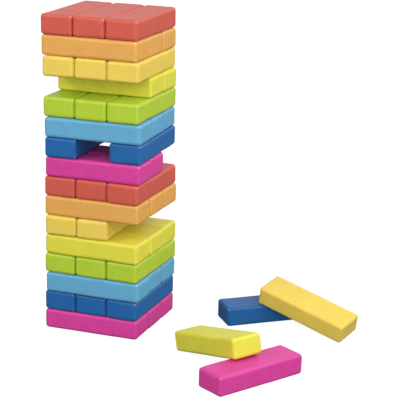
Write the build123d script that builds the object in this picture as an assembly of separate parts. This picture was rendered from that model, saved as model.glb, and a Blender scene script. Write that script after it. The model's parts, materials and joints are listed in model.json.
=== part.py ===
from build123d import *
import os

# A giant tumbling tower: forty-eight equal wooden blocks in eight paint colours. Forty-four
# stand stacked in layers of three that lie across each other. Four have been drawn out of
# the tower and lie beside it, two flat on the ground and two leaning on those.
# Millimetres. +X runs to the right along the front face, +Y to the back and +Z up. The
# origin is on the ground at the middle of the tower's footprint.

# One block
block_length = 180.0
block_width = 59.4
block_height = 36.0
edge_radius = 5.5  # every edge is sanded round

# How the blocks lie on and beside each other
side_gap = 0.9  # between two neighbours in a layer
rest_gap = 0.05  # between a block and the one it rests on, as thin as the paint

# Colours from the ground up. The tower goes through them twice.
colours = ["magenta", "dark_blue", "light_blue", "green", "chartreuse", "gold", "orange", "red"]
colour_rounds = 2

# Places in a layer. Odd layers lie along X and even ones along Y.
places_along_x = ["front", "middle", "rear"]
places_along_y = ["left", "middle", "right"]
empty_places = {6: "right", 9: "rear", 10: "middle", 13: "front"}

# How far play has shifted each layer in X and in Y, and turned it in degrees, from the
# ground up
layer_shifts = [
    (-4.5, 10.0, 0.3),
    (-3.5, 8.5, -0.5),
    (-0.5, 5.0, -0.3),
    (-0.5, 4.5, -1.6),
    (1.0, 2.5, -1.5),
    (-1.5, 2.5, 2.0),
    (1.0, 2.5, -0.7),
    (1.0, 1.0, -0.8),
    (1.5, 0.5, 0.5),
    (1.5, -1.5, 1.9),
    (2.0, -4.0, 1.8),
    (1.0, -3.5, 0.2),
    (1.5, -6.0, 0.0),
    (1.0, -6.5, 0.8),
    (-0.5, -5.5, -0.8),
    (-0.5, -6.0, -0.2),
]
end_shifts = [0.7, -0.6, 0.2]  # how far a block stands out at one end, taken in turn

# The two blocks that lie flat on the ground, to the right of the tower. Each has its turn in
# degrees, the room between its nearest corner and the tower's right side, and the Y that all
# of it stays beyond, so that the ground straight to the right of the tower stays clear.
dark_blue_turn = 38.7
dark_blue_room = 84.5
dark_blue_beyond_y = 51.0
magenta_turn = 58.3
magenta_room = 168.0
magenta_beyond_y = -76.5

# The two blocks that lean on them. Each has its turn, from +X to the way its low end points,
# and crosses a long top edge of the block below: the crossing is that far along the edge from
# its middle, and the overhang is what reaches past the edge at the raised end.
gold_turn = -15.3
gold_crossing = 11.5
gold_overhang = 29.0
chartreuse_turn = 145.3
chartreuse_crossing = -0.5
chartreuse_overhang = 23.0

steepest_lean = 45.0  # degrees, where the search for a leaning block's tilt starts
lean_accuracy = 1e-9  # degrees, where it ends


def rounded_block():
    """One block about its own centre, lying along X."""
    sawn = Box(block_length, block_width, block_height)
    return fillet(sawn.edges(), edge_radius).solid()


def tower_place(layer, place):
    """Where a block of the tower lies. Layers count from 1 at the ground, and the places in a
    layer are 0, 1 and 2."""
    shift_x, shift_y, turn = layer_shifts[layer - 1]
    height = (layer - 1) * (block_height + rest_gap) + block_height / 2
    across = (place - 1) * (block_width + side_gap)
    along = end_shifts[(layer + place) % len(end_shifts)]
    if layer % 2 == 1:
        in_layer = Pos(along, across, 0)
    else:
        in_layer = Pos(across, along, 0) * Rot(0, 0, 90)
    return Pos(shift_x, shift_y, height) * Rot(0, 0, turn) * in_layer


def ground_place(turn, room, beyond_y):
    """Where a block lies flat on the ground beside the tower."""
    long_way = Vector(block_length / 2, 0, 0).rotate(Axis.Z, turn)
    short_way = Vector(0, block_width / 2, 0).rotate(Axis.Z, turn)
    spread_x = abs(long_way.X) + abs(short_way.X)
    spread_y = abs(long_way.Y) + abs(short_way.Y)
    tower_side = max(block_length, 3 * block_width + 2 * side_gap) / 2
    outward_y = 1 if beyond_y > 0 else -1
    x = tower_side + room + spread_x
    y = beyond_y + outward_y * spread_y
    return Pos(x, y, block_height / 2) * Rot(0, 0, turn)


def height_over_ground(long_way, up_way):
    """How high a tilted block's centre is above its lowest point. The block is a box shrunk
    by the edge radius and then grown by a ball of that radius, so the heights of the box's
    three half sizes add up, and then the radius."""
    short_way = up_way.cross(long_way)
    return (
        (block_length / 2 - edge_radius) * abs(long_way.Z)
        + (block_width / 2 - edge_radius) * abs(short_way.Z)
        + (block_height / 2 - edge_radius) * abs(up_way.Z)
        + edge_radius
    )


def leaning_place(below, side, turn, crossing, overhang):
    """Where a block leans on the block below. It is turned, and then tilted about that
    block's long top edge on the given side until its low end, +X, meets the ground. A steep
    tilt would sink it and a slight one leaves it in the air, so the tilt is found by halving."""
    edge_way = Vector(1, 0, 0).rotate(Axis.Z, below.orientation.Z)
    out_way = edge_way.rotate(Axis.Z, 90 * side)
    tilt_axis = Axis((0, 0, 0), Vector(0, 0, 1).cross(out_way))
    level_way = Vector(1, 0, 0).rotate(Axis.Z, turn)
    edge_centre = (
        below.position
        + out_way * (block_width / 2 - edge_radius)
        + Vector(0, 0, block_height / 2 - edge_radius)
        + edge_way * crossing
    )
    slight, steep = 0.0, steepest_lean
    while steep - slight > lean_accuracy:
        tilt = (slight + steep) / 2
        long_way = level_way.rotate(tilt_axis, tilt)
        up_way = Vector(0, 0, 1).rotate(tilt_axis, tilt)
        centre = (
            edge_centre
            + up_way * (edge_radius + rest_gap + block_height / 2)
            + long_way * (block_length / 2 - overhang)
        )
        if centre.Z < height_over_ground(long_way, up_way):
            steep = tilt
        else:
            slight = tilt
    return Plane(origin=centre, x_dir=long_way, z_dir=up_way).location


def place_tower():
    """The name and the place of each block in the tower."""
    places = {}
    for layer in range(1, colour_rounds * len(colours) + 1):
        colour = colours[(layer - 1) % len(colours)]
        names = places_along_x if layer % 2 == 1 else places_along_y
        for place, name in enumerate(names):
            if empty_places.get(layer) != name:
                places[f"layer_{layer:02d}_{colour}_{name}"] = tower_place(layer, place)
    return places


def place_drawn_blocks():
    """The name and the place of each block beside the tower."""
    dark_blue = ground_place(dark_blue_turn, dark_blue_room, dark_blue_beyond_y)
    magenta = ground_place(magenta_turn, magenta_room, magenta_beyond_y)
    gold = leaning_place(dark_blue, -1, gold_turn, gold_crossing, gold_overhang)
    chartreuse = leaning_place(
        magenta, 1, chartreuse_turn, chartreuse_crossing, chartreuse_overhang
    )
    return {
        "drawn_dark_blue": dark_blue,
        "drawn_gold_leaning": gold,
        "drawn_magenta": magenta,
        "drawn_chartreuse_leaning": chartreuse,
    }


block = rounded_block()
places = {**place_tower(), **place_drawn_blocks()}
os.makedirs("parts", exist_ok=True)
for name, place in places.items():
    export_step(block.moved(place), f"parts/{name}.step")
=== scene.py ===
import json
import math

import bpy
import numpy as np
from mathutils import Matrix


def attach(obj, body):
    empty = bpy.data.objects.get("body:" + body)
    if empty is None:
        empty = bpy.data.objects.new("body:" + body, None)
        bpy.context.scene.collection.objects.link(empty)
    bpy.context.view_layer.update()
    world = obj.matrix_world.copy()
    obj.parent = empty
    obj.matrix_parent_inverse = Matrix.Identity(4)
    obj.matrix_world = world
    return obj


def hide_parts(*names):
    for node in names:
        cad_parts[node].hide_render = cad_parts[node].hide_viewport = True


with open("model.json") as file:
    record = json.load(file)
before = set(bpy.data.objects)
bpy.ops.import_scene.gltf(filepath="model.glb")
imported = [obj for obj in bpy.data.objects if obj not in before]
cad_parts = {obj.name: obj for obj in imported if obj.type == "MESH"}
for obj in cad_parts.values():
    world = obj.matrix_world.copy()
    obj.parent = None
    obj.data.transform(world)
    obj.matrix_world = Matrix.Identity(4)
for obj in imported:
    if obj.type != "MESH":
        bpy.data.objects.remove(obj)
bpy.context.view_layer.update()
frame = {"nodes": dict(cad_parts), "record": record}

# Metres throughout, in the frame of the CAD model: +X right, +Y back, +Z up, z = 0 the ground.

# The painted blocks' surface
EDGE_RADIUS = 0.0058  # how round the sanding leaves an edge, on average
EDGE_RADIUS_SWING = 0.0006  # and how much rounder or sharper it gets along its length
EDGE_TURNS = 6  # grid steps around half an edge
FLAT_STEP = 0.0024  # grid step on the flat faces
EDGE_BORDER = 0.0005  # a narrow step beside each edge keeps the faces flat
PLANING_WAVE = 0.00006  # the faces are this uneven
PLANING_LENGTH = 0.05  # from one rise of a face to the next
RADIUS_LENGTH = 0.07  # and from one swing of the edge radius to the next
EDGE_DINGS = 7  # knocks on the edges of a block
DING_DEPTHS = (0.0003, 0.0011)
DING_RADII = (0.0020, 0.0045)
FACE_BRUISES = 4  # shallow knocks on its faces
BRUISE_DEPTHS = (0.0001, 0.0003)
BRUISE_RADII = (0.004, 0.010)
FIRST_SEED = 1000  # each block draws its own random numbers, counted up from this one

# The timber under the paint
LOG_DISTANCES = (0.03, 0.09)  # how far from the pith a block is sawn
RING_SPACING = 0.0046
RING_WOBBLE = 9.0  # radians that the year rings wander

# The view: azimuth from the front towards +X and elevation in degrees, and metres
VIEW_AZIMUTH = 20.21
VIEW_ELEVATION = 15.89
VIEW_ROLL = 1.11
VIEW_DISTANCE = 2.612
VIEW_POINT = (0.1719, 0.0, 0.2513)
LENS = 133.1  # millimetres, as the sensor's width below
SENSOR = 36.0
VIEW_END = 200.0  # how far the camera sees

# The studio, as brightness in linear light
FLOOR_GLOW = 0.90
FLOOR_GREY = (0.25, 0.25, 0.25, 1.0)
FLOOR_REACH = 20.0
FLOOR_DEPTH = -0.0002
SKY_LOW = 0.15
SKY_PLAIN = 0.12
SKY_FRONT = 0.80
SKY_BACK = 0.62
BRIGHT_SIDE = 85.0  # azimuth of the bright side
WHITE = (1.0, 1.0, 1.0, 1.0)
LIGHTS_AIM = (0.1, 0.0, 0.28)  # the middle of the tower and of what lies beside it
SOFTBOXES = [  # name, azimuth, elevation, distance, size and power in watts
    ("key_light", 18.0, 21.0, 2.6, 2.2, 38.0),
    ("fill_light", -41.0, 36.0, 2.8, 1.2, 24.0),
    ("side_light", 84.0, 38.0, 1.25, 0.6, 4.2),
]

# Paint colours, in linear light
PAINTS = {
    "paint_red": (0.620, 0.102, 0.070),
    "paint_orange": (0.770, 0.390, 0.085),
    "paint_gold": (0.830, 0.610, 0.095),
    "paint_chartreuse": (0.740, 0.700, 0.056),
    "paint_green": (0.440, 0.610, 0.033),
    "paint_light_blue": (0.120, 0.390, 0.610),
    "paint_dark_blue": (0.010, 0.122, 0.370),
    "paint_magenta": (0.680, 0.048, 0.320),
}
BARE_WOOD = (0.80, 0.66, 0.45, 1.0)


def grid_steps(half):
    """Places of the grid lines along one axis of a block of that half size. Around an edge
    they are tangents of even turns, so that the rounding divides evenly, with one narrow step
    beside it and even steps over the flat part."""
    flat_half = half - EDGE_RADIUS
    turns = np.linspace(0.0, math.pi / 4, EDGE_TURNS + 1)
    edge = flat_half + EDGE_RADIUS * np.tan(turns)
    inner = flat_half - EDGE_BORDER
    flat_count = max(2, round(2 * inner / FLAT_STEP))
    flat = np.linspace(-inner, inner, flat_count + 1)
    return np.concatenate([-edge[::-1], flat, edge])


def skin_quads(numbers):
    """The faces of a box-shaped grid's skin, from the numbers of its points: each side of the
    box is one sheet of quads, wound so that it faces outwards."""
    sides = []
    for axis in range(3):
        for end in (0, -1):
            sheet = np.take(numbers, end, axis)
            corners = [sheet[:-1, :-1], sheet[1:, :-1], sheet[1:, 1:], sheet[:-1, 1:]]
            quads = np.stack(corners, -1).reshape(-1, 4)
            outwards = (end == -1) != (axis == 1)
            sides.append(quads if outwards else quads[:, ::-1])
    return np.concatenate(sides)


def waves(points, rng, length, count=5):
    """A smooth random field over the points, about -1 to 1: the mean of a few plane sine
    waves of about that length in random directions, times the root of their number."""
    directions = rng.normal(size=(count, 3))
    directions /= np.linalg.norm(directions, axis=1, keepdims=True)
    turns = 2 * math.pi / (length * rng.uniform(0.7, 1.5, count))
    phases = rng.uniform(0, 2 * math.pi, count)
    return np.sin(points @ directions.T * turns + phases).sum(1) / math.sqrt(count)


def knocks(points, centres, depths, radii):
    """How deep the points lie in the dents: the sum over the dents of the depth times the
    bell curve of the distance over the dent's radius."""
    gaps = np.linalg.norm(points[:, None, :] - centres[None, :, :], axis=2)
    return (depths * np.exp(-((gaps / radii) ** 2))).sum(1)


def edge_points(rng, half, count):
    """Random places on the edges of a box: two of the three places are at a side."""
    spots = rng.uniform(-1.0, 1.0, (count, 3))
    free_axis = rng.choice(3, count, p=[0.6, 0.25, 0.15])
    for axis in range(3):
        sides = rng.choice([-1.0, 1.0], count)
        spots[:, axis] = np.where(free_axis == axis, spots[:, axis], sides)
    return spots * half


def face_points(rng, half, count):
    """Random places on the faces of a box: one of the three places is at a side."""
    spots = rng.uniform(-0.85, 0.85, (count, 3))
    shut_axis = rng.choice(3, count, p=[0.15, 0.4, 0.45])
    for axis in range(3):
        sides = rng.choice([-1.0, 1.0], count)
        spots[:, axis] = np.where(shut_axis == axis, sides, spots[:, axis])
    return spots * half


def sanded_skin(half, rng):
    """Points, outward directions and faces of a sanded block about its own centre. Each grid
    point on the box is drawn in: its nearest point of a smaller box, plus the edge radius
    along the direction between the two. The radius swings along the edges, and the planing
    waves, dings and bruises only ever take wood away."""
    steps = [grid_steps(size) for size in half]
    lattice = np.stack(np.meshgrid(*steps, indexing="ij"), -1)
    is_skin = np.zeros(lattice.shape[:3], bool)
    for axis in range(3):
        ends = np.moveaxis(is_skin, axis, 0)
        ends[0] = True
        ends[-1] = True
    numbers = np.full(lattice.shape[:3], -1)
    numbers[is_skin] = np.arange(is_skin.sum())
    points = lattice[is_skin]

    radius = EDGE_RADIUS + EDGE_RADIUS_SWING * waves(points, rng, RADIUS_LENGTH)
    inner_half = half - radius[:, None]
    nearest = np.clip(points, -inner_half, inner_half)
    outwards = points - nearest
    outwards /= np.linalg.norm(outwards, axis=1, keepdims=True)
    surface = nearest + radius[:, None] * outwards

    planing = PLANING_WAVE * (1.0 + 0.5 * waves(surface, rng, PLANING_LENGTH))
    dings = knocks(
        surface,
        edge_points(rng, half, EDGE_DINGS),
        rng.uniform(*DING_DEPTHS, EDGE_DINGS),
        rng.uniform(*DING_RADII, EDGE_DINGS),
    )
    bruises = knocks(
        surface,
        face_points(rng, half, FACE_BRUISES),
        rng.uniform(*BRUISE_DEPTHS, FACE_BRUISES),
        rng.uniform(*BRUISE_RADII, FACE_BRUISES),
    )
    taken = np.clip(planing, 0.0, None) + dings + bruises
    return surface - taken[:, None] * outwards, outwards, skin_quads(numbers)


def block_frame(node):
    """Centre, half sizes and own directions of a block, from its plain CAD mesh. Summed over
    its faces, area times the outer product of the normal has the block's directions as its
    eigenvectors: the ends face least area, the long sides more, and top and bottom most."""
    mesh = node.data
    points = np.zeros(len(mesh.vertices) * 3)
    mesh.vertices.foreach_get("co", points)
    points = points.reshape(-1, 3)
    mesh.calc_loop_triangles()
    corners = np.zeros(len(mesh.loop_triangles) * 3, np.int32)
    mesh.loop_triangles.foreach_get("vertices", corners)
    a, b, c = points[corners.reshape(-1, 3)].transpose(1, 0, 2)
    crosses = np.cross(b - a, c - a)
    areas = np.linalg.norm(crosses, axis=1)
    whole = areas > 0
    spread = (crosses[whole].T / areas[whole]) @ crosses[whole]
    along, _, up = np.linalg.eigh(spread)[1].T
    along = along if along[0] + along[1] > 0 else -along
    up = up if up[2] > 0 else -up
    directions = np.stack([along, np.cross(up, along), up])
    own = points @ directions.T
    low, high = own.min(0), own.max(0)
    return (low + high) / 2 @ directions, (high - low) / 2, directions


def painted_block(name, node, rng):
    """One block of the set, as its own closed mesh over the CAD node. The attribute timber
    says where in a log each point was sawn, and edge how far it is around an edge or corner,
    from 0 on a flat face to 1 at the tip of a corner."""
    centre, half, directions = block_frame(node)
    points, outwards, quads = sanded_skin(half, rng)
    mesh = bpy.data.meshes.new(name)
    mesh.from_pydata((points @ directions + centre).tolist(), [], quads.tolist())
    mesh.polygons.foreach_set("use_smooth", np.ones(len(quads), bool))

    log_turn = rng.uniform(0, 2 * math.pi)
    log_distance = rng.uniform(*LOG_DISTANCES)
    sawn_at = [
        rng.uniform(-5, 5),
        log_distance * math.cos(log_turn),
        log_distance * math.sin(log_turn),
    ]
    timber = mesh.attributes.new("timber", "FLOAT_VECTOR", "POINT")
    timber.data.foreach_set("vector", (points + sawn_at).astype(np.float32).ravel())
    corner_tip = 1 - 1 / math.sqrt(3)
    around = (1 - np.abs(outwards).max(1)) / corner_tip
    edge = mesh.attributes.new("edge", "FLOAT", "POINT")
    edge.data.foreach_set("value", around.astype(np.float32))

    piece = bpy.data.objects.new(name, mesh)
    bpy.context.scene.collection.objects.link(piece)
    return piece


class Value:
    """One output of a shader node. Arithmetic on it, with numbers or other outputs on either
    side, adds the Math nodes that work it out."""

    def __init__(self, shader, socket):
        self.shader = shader
        self.socket = socket

    def math(self, operation, *operands):
        return self.shader.node("ShaderNodeMath", {"operation": operation}, operands)

    def __add__(self, other):
        return self.math("ADD", self, other)

    def __radd__(self, other):
        return self.math("ADD", other, self)

    def __sub__(self, other):
        return self.math("SUBTRACT", self, other)

    def __rsub__(self, other):
        return self.math("SUBTRACT", other, self)

    def __mul__(self, other):
        return self.math("MULTIPLY", self, other)

    def __rmul__(self, other):
        return self.math("MULTIPLY", other, self)

    def __pow__(self, other):
        return self.math("POWER", self, other)


class Shader:
    """The node tree of a material or of the world, and the shader node at its end."""

    def __init__(self, owner, last_node="Principled BSDF"):
        owner.use_nodes = True
        self.owner = owner
        self.tree = owner.node_tree
        self.surface = self.tree.nodes[last_node]

    def set(self, socket, value):
        """Gives a socket a value, or a link if the value is a node's output."""
        if isinstance(value, Value):
            self.tree.links.new(value.socket, socket)
        else:
            socket.default_value = value

    def node(self, kind, settings, inputs, output=0):
        """Adds a node: its settings first, and then its sockets, by place or by name."""
        node = self.tree.nodes.new(kind)
        for key, value in settings.items():
            setattr(node, key, value)
        pairs = inputs.items() if isinstance(inputs, dict) else enumerate(inputs)
        for key, value in pairs:
            self.set(node.inputs[key], value)
        return Value(self, node.outputs[output])

    def attribute(self, name, output):
        return self.node("ShaderNodeAttribute", {"attribute_name": name}, {}, output)

    def scaled(self, vector, factors):
        return self.node("ShaderNodeVectorMath", {"operation": "MULTIPLY"}, [vector, factors])

    def noise(self, vector, scale, detail=2.0, roughness=0.5):
        inputs = {"Vector": vector, "Scale": scale, "Detail": detail, "Roughness": roughness}
        return self.node("ShaderNodeTexNoise", {}, inputs)

    def ease(self, value, low, high):
        """0 below low, 1 above high and smooth between."""
        inputs = {"Value": value, "From Min": low, "From Max": high}
        return self.node("ShaderNodeMapRange", {"interpolation_type": "SMOOTHSTEP"}, inputs)

    def mix(self, factor, first, second):
        inputs = {"Factor": factor, 6: first, 7: second}
        return self.node("ShaderNodeMix", {"data_type": "RGBA"}, inputs, 2)


def shade(colour, brightness, greying=0.0):
    """A colour made brighter or darker, and drawn towards the grey of the same strength."""
    grey = sum(colour) / 3
    mixed = [brightness * (part + (grey - part) * greying) for part in colour]
    return (*mixed, 1.0)


def satin_paint(name, colour):
    """Opaque satin paint on sanded softwood. The year rings and fibres of the timber stand up
    a little under the paint, the coat is mottled by hand, and it is thin and chipped on the
    sharpest corners."""
    shader = Shader(bpy.data.materials.new(name))
    timber = shader.attribute("timber", "Vector")
    edge = shader.attribute("edge", "Fac")

    across_log = shader.scaled(timber, (0.0, 1.0, 1.0))
    from_pith = shader.node("ShaderNodeVectorMath", {"operation": "LENGTH"}, [across_log], 1)
    drawn_out = shader.scaled(timber, (0.10, 1.0, 1.0))
    wobble = shader.noise(drawn_out, 26.0)
    ring_turn = from_pith * (2 * math.pi / RING_SPACING) + wobble * RING_WOBBLE
    rings = (ring_turn.math("SINE", ring_turn) * 0.5 + 0.5) ** 2.0
    fibres = shader.noise(shader.scaled(timber, (0.045, 1.0, 1.0)), 1100.0)
    clouds = shader.noise(timber, 26.0, 2.0)
    blotches = shader.noise(timber, 115.0, 3.0, 0.6)
    peel = shader.noise(timber, 700.0, 1.0)
    grit = shader.noise(timber, 420.0, 2.0, 0.6)
    specks = shader.noise(timber, 260.0, 1.0)

    chip = shader.ease(edge + grit * 0.9, 1.24, 1.32)
    rubbed = shader.ease(edge + blotches * 0.8, 0.75, 1.5)
    grain = (rings - 0.5) * 0.06 + (fibres - 0.5) * 0.06
    tone = shader.ease(clouds * 0.45 + blotches * 0.55 + grain, 0.32, 0.68)
    scuffs = shader.ease(specks + blotches * 0.25, 0.80, 0.86)
    coat = shader.mix(tone, shade(colour, 0.955), shade(colour, 1.035, 0.02))
    coat = shader.mix(scuffs * 0.16, coat, shade(colour, 1.30, 0.30))
    coat = shader.mix(rubbed * 0.12, coat, shade(colour, 1.20, 0.15))
    coat = shader.mix(chip * 0.75, coat, BARE_WOOD)
    shader.set(shader.surface.inputs["Base Color"], coat)

    roughness = 0.40 + blotches * 0.12 + fibres * 0.04 + scuffs * 0.10 + chip * 0.25
    shader.set(shader.surface.inputs["Roughness"], roughness)
    shader.set(shader.surface.inputs["Specular IOR Level"], 0.32)
    shader.set(shader.surface.inputs["Coat Weight"], 0.06)
    shader.set(shader.surface.inputs["Coat Roughness"], 0.15)

    relief = rings * 0.020 + fibres * 0.014 + blotches * 0.030 + peel * 0.010 - chip * 0.08
    bump = {"Height": relief, "Distance": 0.001, "Strength": 1.0}
    shader.set(shader.surface.inputs["Normal"], shader.node("ShaderNodeBump", {}, bump))
    return shader.owner


def add_blocks():
    """Every block of the set, each riding on its own body in place of its plain CAD node."""
    paints = {slot: satin_paint(slot, colour) for slot, colour in PAINTS.items()}
    slots = {row["node"]: row["material_slot"] for row in frame["record"]["subparts"]}
    bodies = frame["record"]["behaviour"]["bodies"]
    body_of_node = {node: body for body, nodes in bodies.items() for node in nodes}
    for number, name in enumerate(sorted(frame["nodes"])):
        rng = np.random.default_rng(FIRST_SEED + number)
        piece = painted_block("painted_" + name, frame["nodes"][name], rng)
        piece.data.materials.append(paints[slots[name]])
        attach(piece, body_of_node[name])
        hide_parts(name)


def add_floor():
    """A pale floor just under the blocks. Most of its white is its own, so shadows on it stay
    faint, and it sends no light back up at the blocks."""
    mesh = bpy.data.meshes.new("floor")
    corners = [(-1, -1), (1, -1), (1, 1), (-1, 1)]
    points = [(x * FLOOR_REACH, y * FLOOR_REACH, FLOOR_DEPTH) for x, y in corners]
    mesh.from_pydata(points, [], [(0, 1, 2, 3)])
    floor = bpy.data.objects.new("floor", mesh)
    bpy.context.scene.collection.objects.link(floor)
    floor.visible_diffuse = False
    floor.visible_glossy = False
    shader = Shader(bpy.data.materials.new("pale_floor"))
    shader.set(shader.surface.inputs["Base Color"], FLOOR_GREY)
    shader.set(shader.surface.inputs["Roughness"], 0.9)
    shader.set(shader.surface.inputs["Specular IOR Level"], 0.0)
    shader.set(shader.surface.inputs["Emission Color"], WHITE)
    shader.set(shader.surface.inputs["Emission Strength"], FLOOR_GLOW)
    mesh.materials.append(shader.owner)


def looking_back(azimuth, elevation):
    """The direction from what is looked at towards an eye at those angles."""
    turn, rise = math.radians(azimuth), math.radians(elevation)
    level = math.cos(rise)
    return np.array([math.sin(turn) * level, -math.cos(turn) * level, math.sin(rise)])


def place(thing, point, azimuth, elevation, distance, roll=0.0):
    """Puts a light or camera that far from the point at those angles, facing the point."""
    back = looking_back(azimuth, elevation)
    right = np.cross([0.0, 0.0, 1.0], back)
    right /= np.linalg.norm(right)
    up = np.cross(back, right)
    lean = math.radians(roll)
    side = right * math.cos(lean) + up * math.sin(lean)
    matrix = np.eye(4)
    matrix[:3, :3] = np.stack([side, np.cross(back, side), back], 1)
    matrix[:3, 3] = np.array(point) + back * distance
    thing.matrix_world = Matrix(matrix.tolist())


def add_softbox(name, azimuth, elevation, distance, size, power):
    """A square studio light, aimed at the blocks."""
    light = bpy.data.lights.new(name, "AREA")
    light.shape = "SQUARE"
    light.size = size
    light.energy = power
    lamp = bpy.data.objects.new(name, light)
    bpy.context.scene.collection.objects.link(lamp)
    place(lamp, LIGHTS_AIM, azimuth, elevation, distance)


def add_light():
    """Soft studio light. The surroundings are bright at the right, less so at the back and
    dim elsewhere, and they fade out below the horizon. A large key light stands at the front
    right, a smaller one at the front left and a small, weak one close by at the right."""
    world = bpy.data.worlds.new("studio")
    bpy.context.scene.world = world
    studio = Shader(world, "Background")
    way = studio.node("ShaderNodeTexCoord", {}, {})
    x, y, z = [studio.node("ShaderNodeSeparateXYZ", {}, [way], axis) for axis in range(3)]
    turn = math.radians(BRIGHT_SIDE)
    bright_side = studio.ease(x * math.sin(turn) - y * math.cos(turn), 0.0, 0.8)
    back = studio.ease(y, 0.2, 0.9)
    around = SKY_PLAIN + bright_side * SKY_FRONT + back * SKY_BACK
    strength = SKY_LOW + studio.ease(z, -0.22, 0.22) * around
    studio.set(studio.surface.inputs["Color"], WHITE)
    studio.set(studio.surface.inputs["Strength"], strength)
    for softbox in SOFTBOXES:
        add_softbox(*softbox)
    bpy.context.scene.view_settings.view_transform = "Standard"


def add_camera():
    """The camera, about a metre above the ground and well back."""
    data = bpy.data.cameras.new("camera")
    data.lens = LENS
    data.sensor_width = SENSOR
    data.clip_end = VIEW_END
    camera = bpy.data.objects.new("camera", data)
    bpy.context.scene.collection.objects.link(camera)
    place(camera, VIEW_POINT, VIEW_AZIMUTH, VIEW_ELEVATION, VIEW_DISTANCE, VIEW_ROLL)
    bpy.context.scene.camera = camera


add_camera()
add_blocks()
add_floor()
add_light()
